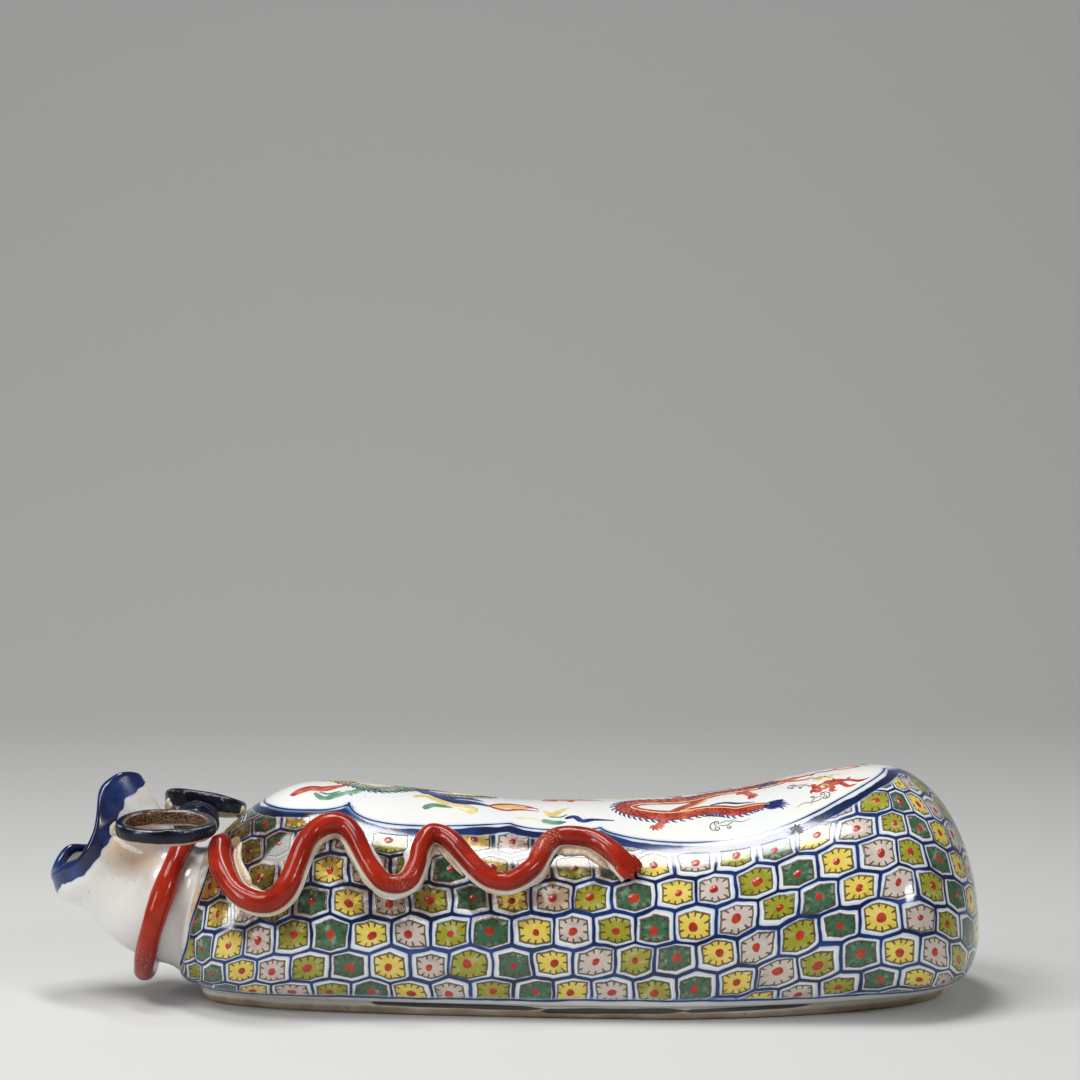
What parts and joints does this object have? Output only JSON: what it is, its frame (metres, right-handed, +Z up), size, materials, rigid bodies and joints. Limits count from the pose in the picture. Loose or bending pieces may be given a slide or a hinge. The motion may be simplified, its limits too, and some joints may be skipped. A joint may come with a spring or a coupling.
{
  "type": "ceramic pillow",
  "caption": "Hollow glazed ceramic pillow shaped as a tied cloth bag, with a saddle-shaped headrest panel, hexagon-patterned walls, a corded neck with a bow, and a flat foot.",
  "frame": {"origin": "middle of the foot slab's length and width, on its flat underside", "axes": "+X along the bag from the tied mouth to the round end, +Z up, -Y towards the front wall with the longer cord tail"},
  "size_m": [0.3993, 0.134, 0.1005],
  "materials": {
    "painted_glaze": "clear glaze over white clay, painted in cobalt and overglaze enamels",
    "iron_red_glaze": "glossy iron-red enamel",
    "cobalt_glaze": "thick glossy dark cobalt glaze",
    "bare_clay": "unglazed buff biscuit"
  },
  "bodies": {
    "root": {"base_slab": "bare_clay", "front_wall": "painted_glaze", "rear_wall": "painted_glaze", "headrest_panel": "painted_glaze", "neck_collar": "painted_glaze", "mouth_frill": "painted_glaze", "neck_cord": "iron_red_glaze", "bow_knot": "cobalt_glaze", "front_bow_loop": "cobalt_glaze", "rear_bow_loop": "cobalt_glaze", "front_cord_tail": "iron_red_glaze", "rear_cord_tail": "iron_red_glaze"}
  },
  "joints": []
}
